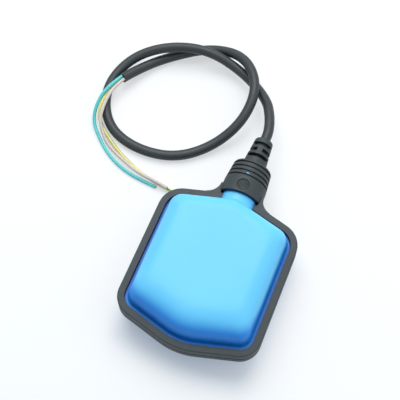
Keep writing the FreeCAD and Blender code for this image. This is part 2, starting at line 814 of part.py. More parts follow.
def closed_terminal():
    """Normally closed pole: tab, foot and fixed contact."""
    foot_y = closed_face_y - contact_height
    half = tab_width / 2
    foot = block(contact_x - contact_radius, closed_tab_x + strip_thickness / 2,
                 foot_y - strip_thickness, foot_y, mid_z - half, mid_z + half)
    tab = strip(closed_tab_x, foot_y - strip_thickness, tab_end_y)
    return tab.fuse([foot, contact(closed_face_y, -1)])


def switch_outline(z_low, z_high):
    """Block of the microswitch's outline between two heights."""
    half = switch_length / 2
    return block(-half, half, switch_front_y, switch_back_y, z_low, z_high)


def switch_holes():
    """Fixing holes through the whole microswitch."""
    return [post(hole_radius, x, y, switch_z, switch_top) for x, y in seat_places()]


def switch_base():
    """Microswitch housing with the chamber, the plunger's hole and hinge ears."""
    floor = switch_z + switch_wall
    body = switch_outline(switch_z, switch_top - switch_lid)
    chamber = block(-chamber_half, chamber_half, chamber_front_y, chamber_back_y,
                    floor, switch_top - switch_lid)
    guide = Part.makeCylinder(plunger_radius + plunger_fit, switch_wall,
                              Vector(plunger_x, switch_front_y, mid_z), Y_AXIS)
    slots = [strip(x, chamber_back_y, switch_back_y)
             for x in (blade_pivot_x, open_tab_x, closed_tab_x)]
    return body.fuse(hinge_ears()).cut([chamber, guide] + slots + switch_holes())


def hinge_ears():
    """Two ears on the front face that hold the lever's pin."""
    ears = []
    inner = lever_width / 2 + ear_gap
    for low in (mid_z - inner - ear_thickness, mid_z + inner):
        ear = post(ear_radius, lever_pin_x, lever_pin_y, low, low + ear_thickness)
        web = block(lever_pin_x - ear_radius, lever_pin_x + ear_radius,
                    lever_pin_y, switch_front_y, low, low + ear_thickness)
        hole = post(lever_pin_radius, lever_pin_x, lever_pin_y, low, low + ear_thickness)
        ears.append(ear.fuse(web).cut(hole))
    return ears


def switch_cover():
    """Flat lid of the microswitch."""
    return switch_outline(switch_top - switch_lid, switch_top).cut(switch_holes())


def lever_pin():
    """Pin through both ears and the lever's barrel."""
    reach = lever_width / 2 + ear_gap + ear_thickness
    return post(lever_pin_radius, lever_pin_x, lever_pin_y, mid_z - reach, mid_z + reach)


def actuator_lever():
    """Sprung strip with a rolled barrel, drawn pressed and swung back to rest."""
    half = lever_width / 2
    low = mid_z - half
    high = mid_z + half
    barrel = post(lever_barrel_radius, lever_pin_x, lever_pin_y, low, high)
    blade = block(lever_pin_x, lever_pin_x + lever_length, lever_front_y, lever_back_y, low, high)
    bore = post(lever_pin_radius + lever_pin_fit, lever_pin_x, lever_pin_y, low, high)
    lever = barrel.fuse(blade).cut(bore)
    ends = [edge for edge in lever.Edges
            if edge.BoundBox.XMin > lever_pin_x + lever_length - touch
            and edge.BoundBox.YLength > lever_thickness / 2]
    lever = lever.makeFillet(lever_tip_radius, ends)
    lever.rotate(Vector(lever_pin_x, lever_pin_y, 0), Z_AXIS, -degrees(lever_swing))
    return lever


def switch_plunger():
    """Push pin with a collar that keeps it in the housing."""
    inner_end = blade_pivot_y - blade_thickness / 2 - working_gap - plunger_travel
    length = inner_end - plunger_tip_y
    collar_y = chamber_front_y + ball_clearance
    tip = Vector(plunger_x, plunger_tip_y, mid_z)
    pin = Part.makeCylinder(plunger_radius, length, tip, Y_AXIS)
    rounded = [edge for edge in pin.Edges if abs(edge.BoundBox.YMax - plunger_tip_y) < touch]
    pin = pin.makeFillet(plunger_radius / 2, rounded)
    collar = Part.makeCylinder(plunger_collar_radius, plunger_collar_length,
                               Vector(plunger_x, collar_y, mid_z), Y_AXIS)
    return pin.fuse(collar)


def snap_blade():
    """Contact blade with its knuckle and rivet, at its rest against the closed contact."""
    half = blade_width / 2
    low = mid_z - half
    high = mid_z + half
    inner = blade_pivot_radius + lever_pin_fit
    knuckle = post(inner + blade_thickness, blade_pivot_x, blade_pivot_y, low, high)
    leaf = block(blade_pivot_x, blade_pivot_x + blade_length,
                 blade_pivot_y - blade_thickness / 2, blade_pivot_y + blade_thickness / 2,
                 low, high)
    window = block(blade_pivot_x + blade_window_margin, contact_x - blade_window_margin,
                   blade_pivot_y - blade_thickness, blade_pivot_y + blade_thickness,
                   mid_z - half / 2, mid_z + half / 2)
    rivet = Part.makeCylinder(contact_radius, 2 * moving_contact_half,
                              Vector(contact_x, blade_pivot_y - moving_contact_half, mid_z), Y_AXIS)
    blade = knuckle.fuse([leaf, rivet]).cut(post(inner, blade_pivot_x, blade_pivot_y, low, high))
    blade = blade.cut(window)
    blade.rotate(Vector(blade_pivot_x, blade_pivot_y, 0), Z_AXIS, -degrees(blade_swing) / 2)
    return blade


def tab_receptacles(leads):
    """Push-on connectors on the three tabs, each crimped round its core."""
    sleeves = []
    for x in (blade_pivot_x, open_tab_x, closed_tab_x):
        start = tab_end_y - receptacle_length
        half_x = strip_thickness / 2 + receptacle_wall
        half_z = tab_width / 2 + receptacle_wall
        sleeve = block(x - half_x, x + half_x, start, tab_end_y, mid_z - half_z, mid_z + half_z)
        barrel = Part.makeCylinder(core_radius + receptacle_wall, crimp_length,
                                   Vector(x, tab_end_y, mid_z), Y_AXIS)
        sleeves.append(sleeve.fuse(barrel).cut([strip(x, start, tab_end_y)] + leads))
    return Part.makeCompound(sleeves)


def steel_ball():
    """Ball at the raceway's far end, clear of floor and walls."""
    return Part.makeSphere(ball_radius, Vector(0, ball_y, mid_z))


def main():
    """Build every piece and write one STEP file for each."""
    leads = [lead("brown", blade_pivot_x), lead("blue", open_tab_x), lead("earth", closed_tab_x)]
    nodes = {
        "upper_shell": upper_shell(),
        "lower_shell": lower_shell(),
        "rim_overmould": rim_overmould(),
        "strain_relief": strain_relief(),
        "cable": cable(),
        "wire_blue": bare_core("blue", blue_route),
        "wire_brown": bare_core("brown", brown_route),
        "wire_earth": bare_core("earth", earth_route),
        "switch_carrier": switch_carrier(),
        "carrier_cover": carrier_cover(),
        "carrier_screws": carrier_screws(),
        "cover_screws": cover_screws(),
        "steel_ball": steel_ball(),
        "switch_base": switch_base(),
        "switch_cover": switch_cover(),
        "switch_screws": switch_screws(),
        "switch_plunger": switch_plunger(),
        "actuator_lever": actuator_lever(),
        "lever_pin": lever_pin(),
        "snap_blade": snap_blade(),
        "common_terminal": common_terminal(),
        "open_terminal": open_terminal(),
        "closed_terminal": closed_terminal(),
        "tab_receptacles": tab_receptacles(leads),
        "lead_common": leads[0],
        "lead_open": leads[1],
        "lead_closed": leads[2],
        "potting_plug": potting_plug(leads),
    }
    os.makedirs("parts", exist_ok=True)
    for name, shape in nodes.items():
        print(name, len(shape.Solids), "solids", round(shape.Volume, 1), "valid", shape.isValid())
        shape.exportStep("parts/" + name + ".step")


main()
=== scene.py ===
"""Float level switch: two blue moulded shells, a charcoal overmoulded rim with a
ribbed neck, and a three-core cable that lies in a loop with its cores bared.

Every length in this file is in metres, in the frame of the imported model, unless
its name ends in _mm.
"""

import logging
import math
from dataclasses import dataclass, field
from enum import Enum
from typing import Iterable

import bmesh
import bpy
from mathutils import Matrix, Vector

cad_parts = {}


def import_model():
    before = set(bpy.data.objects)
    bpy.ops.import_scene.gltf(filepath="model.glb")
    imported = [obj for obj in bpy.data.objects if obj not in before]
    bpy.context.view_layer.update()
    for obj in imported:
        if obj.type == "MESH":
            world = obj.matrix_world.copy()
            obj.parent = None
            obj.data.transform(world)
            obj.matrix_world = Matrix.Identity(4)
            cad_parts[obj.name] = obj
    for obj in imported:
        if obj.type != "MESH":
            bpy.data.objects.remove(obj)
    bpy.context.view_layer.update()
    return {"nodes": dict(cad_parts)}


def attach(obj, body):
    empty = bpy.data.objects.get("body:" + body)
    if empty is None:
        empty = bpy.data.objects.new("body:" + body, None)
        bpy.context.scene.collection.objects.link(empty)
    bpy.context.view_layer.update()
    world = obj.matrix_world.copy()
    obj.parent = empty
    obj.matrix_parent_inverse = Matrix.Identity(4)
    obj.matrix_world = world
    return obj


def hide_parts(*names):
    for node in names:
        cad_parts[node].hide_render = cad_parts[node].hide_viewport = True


log = logging.getLogger("float_switch")
Place = tuple[float, float, float]
Route = tuple[Place, ...]
Tree = bpy.types.NodeTree
Socket = bpy.types.NodeSocket

SECTION_ATTRIBUTE = "section"
SHARP_DEGREES = 40.0
ORIGIN = (0.0, 0.0, 0.0)
MM = 0.001
PER_METRE = 1000.0  # millimetres in a metre

# The kinds of node that are used most.
MATHS = "ShaderNodeMath"
VECTOR_MATHS = "ShaderNodeVectorMath"
PARTS = "ShaderNodeSeparateXYZ"
RANGE = "ShaderNodeMapRange"
NOISE = "ShaderNodeTexNoise"
BUMP = "ShaderNodeBump"
MIX = "ShaderNodeMix"
# A colour Mix: its setting, its input sockets and its output socket.
COLOURS = {"data_type": "RGBA"}
SHARE, FIRST, SECOND, MIXED = 0, 6, 7, 2
# A range with soft ends, and the values of one that falls from 1 to 0.
SOFT = {"interpolation_type": "SMOOTHSTEP"}
FALLING = {"To Min": 1.0, "To Max": 0.0}


# ---- colour and node helpers ------------------------------------------------
def to_linear(hex_colour: str) -> tuple[float, float, float, float]:
    """Turn an sRGB hex colour into linear RGBA.

    Args:
        hex_colour: six hex digits after a hash, such as "#4a90d9".

    Returns:
        Linear red, green and blue, with an alpha of 1.
    """
    channels = [int(hex_colour[i:i + 2], 16) / 255 for i in (1, 3, 5)]
    linear = [c / 12.92 if c <= 0.04045 else ((c + 0.055) / 1.055) ** 2.4
              for c in channels]
    return linear[0], linear[1], linear[2], 1.0


def add_node(
    tree: Tree,
    kind: str,
    settings: dict[str, object] | None = None,
    inputs: dict[str | int, object] | None = None,
) -> bpy.types.Node:
    """Add one node with its settings, and fill or link its inputs.

    Args:
        tree: the shader or geometry tree.
        kind: the node's type identifier.
        settings: properties of the node itself.
        inputs: what goes into its sockets, by their name or index. It is a plain
            value, a socket to link from, or a node for its first output.

    Returns:
        The new node.
    """
    node = tree.nodes.new(kind)
    for name, value in (settings or {}).items():
        setattr(node, name, value)
    for key, given in (inputs or {}).items():
        source = given.outputs[0] if isinstance(given, bpy.types.Node) else given
        if isinstance(source, Socket):
            tree.links.new(source, node.inputs[key])
        else:
            node.inputs[key].default_value = source
    return node


def emptied(owner: bpy.types.Material | bpy.types.World) -> Tree:
    """Give a material or a world an empty node tree.

    Args:
        owner: what the tree belongs to.

    Returns:
        The empty tree.
    """
    owner.use_nodes = True
    owner.node_tree.nodes.clear()
    return owner.node_tree


def distance(tree: Tree, place: Socket, across: Place, axis: Place) -> Socket:
    """Add the distance of a place from an axis that runs along X, Y or Z.

    Args:
        tree: the material's tree.
        place: the coordinates to measure.
        across: 1 for each direction across the axis and 0 along it.
        axis: a point on the axis, with 0 along it.

    Returns:
        The distance.
    """
    shift = tuple(-value for value in axis)
    away = add_node(tree, VECTOR_MATHS, {"operation": "MULTIPLY_ADD"},
                    {0: place, 1: across, 2: shift})
    return add_node(tree, VECTOR_MATHS, {"operation": "LENGTH"}, {0: away}).outputs["Value"]


# ---- finishes -----------------------------------------------------------------
@dataclass(frozen=True)
class Finish:
    """A surface finish that builds one procedural material.

    Colour and gloss drift gently over the piece, and a fine grain breaks up its
    relief. A finish with a crease colour gets painted shade: it goes dark where it is
    closely shut in.
    """

    name: str
    colour: str
    shade: str
    roughness: float
    roughness_drift: float = 0.06
    metallic: float = 0.0
    ior: float = 1.5
    specular: float = 0.5
    cloud_mm: float = 18.0
    cloud_detail: float = 2.0
    gloss_lumps: float = 3.0  # across one cloud of colour
    gloss_detail: float = 3.0
    grain_mm: float = 0.5
    grain_detail: float = 2.0
    grain_relief_mm: float = 0.004
    # Painted shade in tight creases: its colour, reach, samples and thresholds.
    crease_shade: str = ""
    crease_mm: float = 2.0
    crease_samples: int = 12
    crease_dark: float = 0.5
    crease_clear: float = 0.97

    def material(self) -> bpy.types.Material:
        """Build the material.

        Returns:
            The new material.
        """
        material = bpy.data.materials.new(self.name)
        tree = emptied(material)
        place = add_node(tree, "ShaderNodeTexCoord").outputs["Object"]
        surface = self.surface(tree, place)
        add_node(tree, "ShaderNodeOutputMaterial", inputs={"Surface": surface})
        return material

    def surface(self, tree: Tree, place: Socket) -> bpy.types.Node:
        """Build the shader from its colour, roughness and relief.

        Args:
            tree: the material's tree.
            place: the coordinates that every pattern reads.

        Returns:
            The Principled shader node.
        """
        return add_node(tree, "ShaderNodeBsdfPrincipled", inputs={
            "Metallic": self.metallic,
            "IOR": self.ior,
            "Specular IOR Level": self.specular,
            "Base Color": self.shade_creases(tree, self.tone(tree, place)),
            "Roughness": self.gloss(tree, place),
            "Normal": self.relief(tree, place),
        })

    def tone(self, tree: Tree, place: Socket) -> Socket:
        """Drift the colour between the two tones.

        Args:
            tree: the material's tree.
            place: the coordinates that the pattern reads.

        Returns:
            The colour.
        """
        cloud = add_node(tree, NOISE, inputs={
            "Vector": place, "Scale": PER_METRE / self.cloud_mm,
            "Detail": self.cloud_detail,
        })
        return add_node(tree, MIX, COLOURS, {
            SHARE: cloud, FIRST: to_linear(self.shade), SECOND: to_linear(self.colour),
        }).outputs[MIXED]

    def shade_creases(self, tree: Tree, tone: Socket) -> Socket:
        """Paint shade into tight creases, where the finish has a crease colour.

        Args:
            tree: the material's tree.
            tone: the colour in the open.

        Returns:
            The colour.
        """
        if not self.crease_shade:
            return tone
        # Painted shade: where ambient occlusion finds the surface shut in, the colour goes
        # dark.
        clear = add_node(
            tree, "ShaderNodeAmbientOcclusion", {"samples": self.crease_samples},
            {"Distance": self.crease_mm * MM},
        ).outputs["AO"]
        crease_shade_share = add_node(tree, RANGE, SOFT, {
            "Value": clear, "From Min": self.crease_dark, "From Max": self.crease_clear,
            **FALLING,
        })
        return add_node(tree, MIX, COLOURS, {
            SHARE: crease_shade_share, FIRST: tone, SECOND: to_linear(self.crease_shade),
        }).outputs[MIXED]

    def gloss(self, tree: Tree, place: Socket) -> Socket:
        """Drift the roughness a little either way.

        Args:
            tree: the material's tree.
            place: the coordinates that the pattern reads.

        Returns:
            The roughness.
        """
        cloud = add_node(tree, NOISE, inputs={
            "Vector": place, "Scale": PER_METRE / (self.cloud_mm / self.gloss_lumps),
            "Detail": self.gloss_detail,
        })
        return add_node(tree, RANGE, inputs={
            "Value": cloud, "To Min": self.roughness - self.roughness_drift,
            "To Max": self.roughness + self.roughness_drift,
        }).outputs["Result"]

    def relief(self, tree: Tree, place: Socket) -> Socket:
        """Raise the fine grain of the surface.

        Args:
            tree: the material's tree.
            place: the coordinates that the pattern reads.

        Returns:
            The normal.
        """
        grain = add_node(tree, NOISE, inputs={
            "Vector": place, "Scale": PER_METRE / self.grain_mm,
            "Detail": self.grain_detail,
        })
        return add_node(tree, BUMP, inputs={
            "Strength": 1.0, "Distance": self.grain_relief_mm * MM, "Height": grain,
        }).outputs["Normal"]


@dataclass(frozen=True)
class ShadedShell(Finish):
    """Moulded shell with painted light and shade: pale on the crown, deep at the foot.

    The colour is painted pale where light falls on the crown, and deep blue as painted
    shade on the ledge, the steep wall and the thick tip. Each row of painted light
    gives two places along Y, and the height that the shell past the second one gains
    towards pale.
    """

    # Painted shade: its deep blue, and the heights over which it gives way to the pale
    # crown.
    shaded_blue: str = "#2c8fea"
    seam: float = 0.0215
    foot: float = 0.0150
    crown: float = 0.0215
    painted_light_rows: tuple[Place, ...] = ((-0.0640, -0.0320, 0.0060), (0.0120, 0.0220, 0.0055))

    def tone(self, tree: Tree, place: Socket) -> Socket:
        """Paint shade by deepening the colour towards the seam between the shells.

        Args:
            tree: the material's tree.
            place: the coordinates that the pattern reads.

        Returns:
            The colour.
        """
        base = super().tone(tree, place)
        parts = add_node(tree, PARTS, inputs={0: place}).outputs
        rise = parts["Z"]
        for operation, other in (("SUBTRACT", self.seam), ("ABSOLUTE", 0.0)):
            rise = add_node(tree, MATHS, {"operation": operation}, {0: rise, 1: other})
        for start, end, more in self.painted_light_rows:
            past = add_node(tree, RANGE, SOFT, {
                "Value": parts["Y"], "From Min": start, "From Max": end,
            })
            rise = add_node(tree, MATHS, {"operation": "MULTIPLY_ADD"},
                            {0: past, 1: more, 2: rise})
        shell_shade_share = add_node(tree, RANGE, SOFT, {
            "Value": rise, "From Min": self.foot, "From Max": self.crown, **FALLING,
        })
        return add_node(tree, MIX, COLOURS, {
            SHARE: shell_shade_share, FIRST: base, SECOND: to_linear(self.shaded_blue),
        }).outputs[MIXED]


@dataclass(frozen=True)
class RibbedSleeve(Finish):
    """Overmoulded rubber, with painted shade in its grooves and a dark round recess.

    The recess is eroded coarsely, as a plain field for a mark is.
    """

    # Painted shade in the ring grooves and the parting groove, and the recess's dark tone.
    groove_shade_and_field_tone: str = "#04161d"
    sleeve: float = 0.03055
    ring_first: float = 0.0126
    ring_pitch: float = 0.00335
    ring_count: int = 4
    ring_half: float = 0.0006
    ring_end: float = 0.40  # past the outer rings' middles, in pitches
    ring_end_blur: float = 0.05
    seam: float = 0.0215
    parting_half: float = 0.00045
    field_middle: float = 0.0052
    field_radius: float = 0.00425
    field_above: float = 0.03
    field_grain_mm: float = 0.9
    field_detail: float = 1.0
    field_relief_mm: float = 0.6
    field_least: float = 0.3  # least depth of its dark tone
    blur: float = 0.00012

    def rings(self, tree: Tree, along: Socket) -> Socket:
        """Find the ring grooves, by the place along the sleeve.

        Args:
            tree: the material's tree.
            along: the place along the sleeve.

        Returns:
            1 in the grooves and 0 outside them.
        """
        turns = along
        for operation, other in (("SUBTRACT", self.sleeve + self.ring_first),
                                 ("DIVIDE", self.ring_pitch)):
            turns = add_node(tree, MATHS, {"operation": operation}, {0: turns, 1: other})
        away = add_node(tree, MATHS, {"operation": "PINGPONG"}, {0: turns, 1: 0.5})
        inside = add_node(tree, RANGE, SOFT, {
            "Value": away, "From Min": self.ring_half / self.ring_pitch,
            "From Max": (self.ring_half + self.blur) / self.ring_pitch, **FALLING,
        })
        middle = (self.ring_count - 1) / 2
        reach = turns
        for operation, other in (("SUBTRACT", middle), ("ABSOLUTE", 0.0)):
            reach = add_node(tree, MATHS, {"operation": operation}, {0: reach, 1: other})
        end = middle + self.ring_end
        among = add_node(tree, RANGE, SOFT, {
            "Value": reach, "From Min": end, "From Max": end + self.ring_end_blur,
            **FALLING,
        })
        return add_node(tree, MATHS, {"operation": "MULTIPLY"},
                        {0: inside, 1: among}).outputs[0]

    def parting(self, tree: Tree, height: Socket) -> Socket:
        """Find the groove that runs round the rim at the seam.

        Args:
            tree: the material's tree.
            height: the place along Z.

        Returns:
            1 in the groove and 0 outside it.
        """
        away = height
        for operation, other in (("SUBTRACT", self.seam), ("ABSOLUTE", 0.0)):
            away = add_node(tree, MATHS, {"operation": operation}, {0: away, 1: other})
        return add_node(tree, RANGE, SOFT, {
            "Value": away, "From Min": self.parting_half,
            "From Max": self.parting_half + self.blur, **FALLING,
        }).outputs["Result"]

    def mark_field(self, tree: Tree, place: Socket) -> Socket:
        """Find the round recess on top of the sleeve.

        Args:
            tree: the material's tree.
            place: the coordinates that the pattern reads.

        Returns:
            1 in the recess and 0 outside it.
        """
        middle = (0.0, self.sleeve + self.field_middle, 0.0)
        disc = add_node(tree, RANGE, SOFT, {
            "Value": distance(tree, place, (1.0, 1.0, 0.0), middle),
            "From Min": self.field_radius - self.blur, "From Max": self.field_radius,
            **FALLING,
        })
        height = add_node(tree, PARTS, inputs={0: place}).outputs["Z"]
        top = add_node(tree, MATHS, {"operation": "GREATER_THAN"},
                       {0: height, 1: self.field_above})
        return add_node(tree, MATHS, {"operation": "MULTIPLY"},
                        {0: disc, 1: top}).outputs[0]

    def coarse(self, tree: Tree, place: Socket) -> Socket:
        """Return the coarse texture of the recess."""
        return add_node(tree, NOISE, inputs={
            "Vector": place, "Scale": PER_METRE / self.field_grain_mm,
            "Detail": self.field_detail,
        }).outputs["Fac"]

    def tone(self, tree: Tree, place: Socket) -> Socket:
        """Paint shade into the grooves, and darken the recess with its dark tone.

        Args:
            tree: the material's tree.
            place: the coordinates that the pattern reads.

        Returns:
            The colour.
        """
        base = super().tone(tree, place)
        parts = add_node(tree, PARTS, inputs={0: place}).outputs
        spots = self.coarse(tree, place)
        for operation, other in (("ADD", self.field_least), ("MINIMUM", 1.0),
                                 ("MULTIPLY", self.mark_field(tree, place))):
            spots = add_node(tree, MATHS, {"operation": operation}, {0: spots, 1: other})
        # Painted shade in the grooves, taken together with the recess's dark tone.
        groove_shade_and_field = self.rings(tree, parts["Y"])
        for other in (spots, self.parting(tree, parts["Z"])):
            groove_shade_and_field = add_node(tree, MATHS, {"operation": "MAXIMUM"}, {0: groove_shade_and_field, 1: other})
        return add_node(tree, MIX, COLOURS, {
            SHARE: groove_shade_and_field, FIRST: base, SECOND: to_linear(self.groove_shade_and_field_tone),
        }).outputs[MIXED]

    def relief(self, tree: Tree, place: Socket) -> Socket:
        """Raise the coarse texture of the recess over the grain.

        Args:
            tree: the material's tree.
            place: the coordinates that the pattern reads.

        Returns:
            The normal.
        """
        fine = super().relief(tree, place)
        height = add_node(tree, MATHS, {"operation": "MULTIPLY"}, {
            0: self.coarse(tree, place), 1: self.mark_field(tree, place),
        })
        return add_node(tree, BUMP, inputs={
            "Strength": 1.0, "Distance": self.field_relief_mm * MM,
            "Height": height, "Normal": fine,
        }).outputs["Normal"]


@dataclass(frozen=True)
class SlottedRelief(Finish):
    """Moulded rubber round the cable, with painted shade down in its slots."""

    # Painted shade in the slots.
    slot_shade: str = "#080c0e"
    middle: float = 0.0215
    slot_floor: float = 0.0050
    slot_lip: float = 0.0060

    def tone(self, tree: Tree, place: Socket) -> Socket:
        """Paint shade near the cable, down in the slots.

        Args:
            tree: the material's tree.
            place: the coordinates that the pattern reads.

        Returns:
            The colour.
        """
        base = super().tone(tree, place)
        slot_shade_share = add_node(tree, RANGE, SOFT, {
            "Value": distance(tree, place, (1.0, 0.0, 1.0), (0.0, 0.0, self.middle)),
            "From Min": self.slot_floor, "From Max": self.slot_lip, **FALLING,
        })
        return add_node(tree, MIX, COLOURS, {
            SHARE: slot_shade_share, FIRST: base, SECOND: to_linear(self.slot_shade),
        }).outputs[MIXED]


@dataclass(frozen=True)
class StripedInsulation(Finish):
    """Core insulation with a second colour in two stripes along the core.

    The stripes twist round the core just before its tip.
    """

    stripe: str = "#3f9d6e"
    stripe_share: float = 0.42
    stripe_blur: float = 0.04
    stripe_turn: float = 75.0
    tip_turn: float = 100.0
    turn_from: float = -0.0850
    turn_to: float = -0.0600

    def tone(self, tree: Tree, place: Socket) -> Socket:
        """Switch the colour by the side of the core that it lies on.

        Args:
            tree: the material's tree.
            place: the coordinates that the pattern reads.

        Returns:
            The colour.
        """
        base = super().tone(tree, place)
        section = add_node(tree, "ShaderNodeAttribute",
                           {"attribute_name": SECTION_ATTRIBUTE}).outputs["Vector"]
        along = add_node(tree, PARTS, inputs={0: place}).outputs["X"]
        turn = add_node(tree, RANGE, SOFT, {
            "Value": along, "From Min": self.turn_from, "From Max": self.turn_to,
            "To Min": math.radians(self.stripe_turn),
            "To Max": math.radians(self.stripe_turn + self.tip_turn),
        })
        turned = add_node(tree, "ShaderNodeVectorRotate", {"rotation_type": "Z_AXIS"},
                          {"Vector": section, "Angle": turn})
        across = add_node(tree, PARTS, inputs={0: turned}).outputs["X"]
        side = add_node(tree, MATHS, {"operation": "ABSOLUTE"}, {0: across})
        clear = add_node(tree, RANGE, inputs={
            "Value": side, "From Min": self.stripe_share - self.stripe_blur,
            "From Max": self.stripe_share + self.stripe_blur,
        })
        return add_node(tree, MIX, COLOURS, {
            SHARE: clear, FIRST: to_linear(self.stripe), SECOND: base,
        }).outputs[MIXED]


@dataclass(frozen=True)
class BrushedMetal(Finish):
    """Metal with fine lines along one axis, from rolling or drawing."""

    line_mm: float = 0.3
    line_detail: float = 3.0
    along: Place = (1.0, 0.04, 1.0)

    def relief(self, tree: Tree, place: Socket) -> Socket:
        """Raise lines that are drawn out along the axis with the smallest scale.

        Args:
            tree: the material's tree.
            place: the coordinates that the pattern reads.

        Returns:
            The normal.
        """
        stretched = add_node(tree, "ShaderNodeMapping",
                             inputs={"Vector": place, "Scale": self.along})
        lines = add_node(tree, NOISE, inputs={
            "Vector": stretched, "Scale": PER_METRE / self.line_mm,
            "Detail": self.line_detail,
        })
        return add_node(tree, BUMP, inputs={
            "Strength": 1.0, "Distance": self.grain_relief_mm * MM, "Height": lines,
        }).outputs["Normal"]


# Injection moulded polypropylene: satin, with a fine spark-eroded grain, so that
# highlights spread softly over the dome. Its crown is painted pale and its foot
# deep as painted light and shade, and its crease colour is painted shade.
SHELL = ShadedShell("polypropylene_moulded_blue", "#6bcbf4", "#65c6f2", 0.36, ior=1.49,
                     specular=0.35, cloud_mm=30.0, grain_mm=0.45, grain_relief_mm=0.006,
                     crease_shade="#0a2f78", crease_mm=1.7)
# Overmoulded thermoplastic elastomer: matte charcoal that never quite goes black.
# Its crease colour is painted shade.
RIM = RibbedSleeve("thermoplastic_elastomer_charcoal", "#2b3739", "#242f31", 0.55,
                   cloud_mm=12.0, grain_mm=0.35, grain_relief_mm=0.010,
                   crease_shade="#05090b", crease_mm=1.6)
# The same rubber round the cable, with painted shade in its creases and slots.
RELIEF = SlottedRelief("thermoplastic_elastomer_slotted", "#2b3739", "#242f31", 0.55,
                       cloud_mm=12.0, grain_mm=0.35, grain_relief_mm=0.010,
                       crease_shade="#05090b", crease_mm=1.6)
# Extruded rubber jacket: smoother than the rim, with faint lines from the die.
JACKET = Finish("rubber_jacket_extruded_black", "#262f32", "#20282b", 0.46, cloud_mm=14.0,
                grain_mm=0.6, grain_relief_mm=0.008)
# PVC insulation: smooth and slightly waxy.
CORE_BLUE = Finish("pvc_insulation_blue_green", "#60d0cc", "#54c6c4", 0.38, grain_mm=0.8)
CORE_BROWN = Finish("pvc_insulation_pale_brown", "#dccdc0", "#cfbdb0", 0.38, grain_mm=0.8)
CORE_EARTH = StripedInsulation("pvc_insulation_green_yellow", "#e9e08c", "#e2d878", 0.38,
                               grain_mm=0.8)
# Bare annealed copper: bright and warm where the cut is fresh.
COPPER = BrushedMetal("annealed_copper", "#d98f5f", "#c97b4c", 0.28, metallic=1.0,
                      grain_relief_mm=0.003)
# Moulded glass-filled nylon: pale grey and matte.
NYLON = Finish("nylon_moulded_grey", "#b9bcba", "#adb1af", 0.5, grain_relief_mm=0.008)
# Zinc plate over steel: bright, with a slightly cloudy passivation.
ZINC = BrushedMetal("zinc_plated_steel", "#b9bab6", "#a9aba6", 0.34, metallic=1.0,
                    line_mm=0.2)
# Ground and polished bearing steel: almost a mirror.
BEARING = Finish("bearing_steel_polished", "#c9cbcd", "#c2c4c6", 0.09, metallic=1.0,
                 roughness_drift=0.02, grain_relief_mm=0.0006)
# Phenolic moulding: dark, hard and slightly glossy.
PHENOLIC = Finish("phenolic_moulding_black", "#1f2021", "#18191a", 0.36)
# Acetal: waxy red, smooth.
ACETAL = Finish("acetal_moulded_red", "#b3261e", "#a3201a", 0.3)
# Cold rolled stainless spring strip.
SPRING = BrushedMetal("spring_steel_rolled", "#bfc0bf", "#b3b4b3", 0.26, metallic=1.0)
# Rolled brass strip.
BRASS = BrushedMetal("brass_rolled", "#d3a95a", "#c79c4f", 0.28, metallic=1.0)
# Tinned brass, duller than bare brass.
TINNED = BrushedMetal("brass_tinned", "#c9c6ba", "#bdbaad", 0.32, metallic=1.0)
# Cast epoxy: dark amber with a glossy skin.
RESIN = Finish("epoxy_resin_amber", "#5a3d22", "#4c331c", 0.16, grain_relief_mm=0.002)


# ---- geometry trees -------------------------------------------------------------
class GeometryTree:
    """A Geometry Nodes tree with named inputs, run once on an object."""

    def __init__(self, name: str) -> None:
        """Start an empty tree with a geometry input and output.

        Args:
            name: what the tree is called.
        """
        self.tree = bpy.data.node_groups.new(name, "GeometryNodeTree")
        self.identifiers: dict[str, str] = {}
        socket = self.tree.interface.new_socket
        socket("Geometry", in_out="INPUT", socket_type="NodeSocketGeometry")
        socket("Geometry", in_out="OUTPUT", socket_type="NodeSocketGeometry")
        self.entry = add_node(self.tree, "NodeGroupInput")

    def size(self, name: str, kind: str = "NodeSocketFloat") -> Socket:
        """Add a named input and return the socket that carries it.

        Args:
            name: what the input is called.
            kind: the type of its socket.

        Returns:
            The output socket of the group's input node.
        """
        item = self.tree.interface.new_socket(name, in_out="INPUT", socket_type=kind)
        self.identifiers[name] = item.identifier
        return self.entry.outputs[name]

    def close(self, geometry: bpy.types.Node, material: Socket) -> None:
        """Realize the result, set its material and link it to the output.

        Args:
            geometry: the node that gives the result.
            material: the socket that carries its material.
        """
        real = add_node(self.tree, "GeometryNodeRealizeInstances", inputs={0: geometry})
        dressed = add_node(self.tree, "GeometryNodeSetMaterial",
                           inputs={"Geometry": real, "Material": material})
        add_node(self.tree, "NodeGroupOutput", inputs={0: dressed})

    def run(
        self, source: bpy.types.Object, name: str, inputs: dict[str, object]
    ) -> bpy.types.Mesh:
        """Run the tree on an object and return the result as a plain mesh.

        Args:
            source: the object whose geometry goes in; it is removed afterwards.
            name: the new mesh's name.
            inputs: values by the inputs' names.

        Returns:
            The finished mesh.
        """
        modifier = source.modifiers.new(name, "NODES")
        modifier.node_group = self.tree
        for key, value in inputs.items():
            modifier[self.identifiers[key]] = value
        evaluated = source.evaluated_get(bpy.context.evaluated_depsgraph_get())
        mesh = bpy.data.meshes.new_from_object(evaluated)
        spent = source.data
        bpy.data.objects.remove(source)
        bpy.data.meshes.remove(spent)
        mesh.name = name
        return mesh


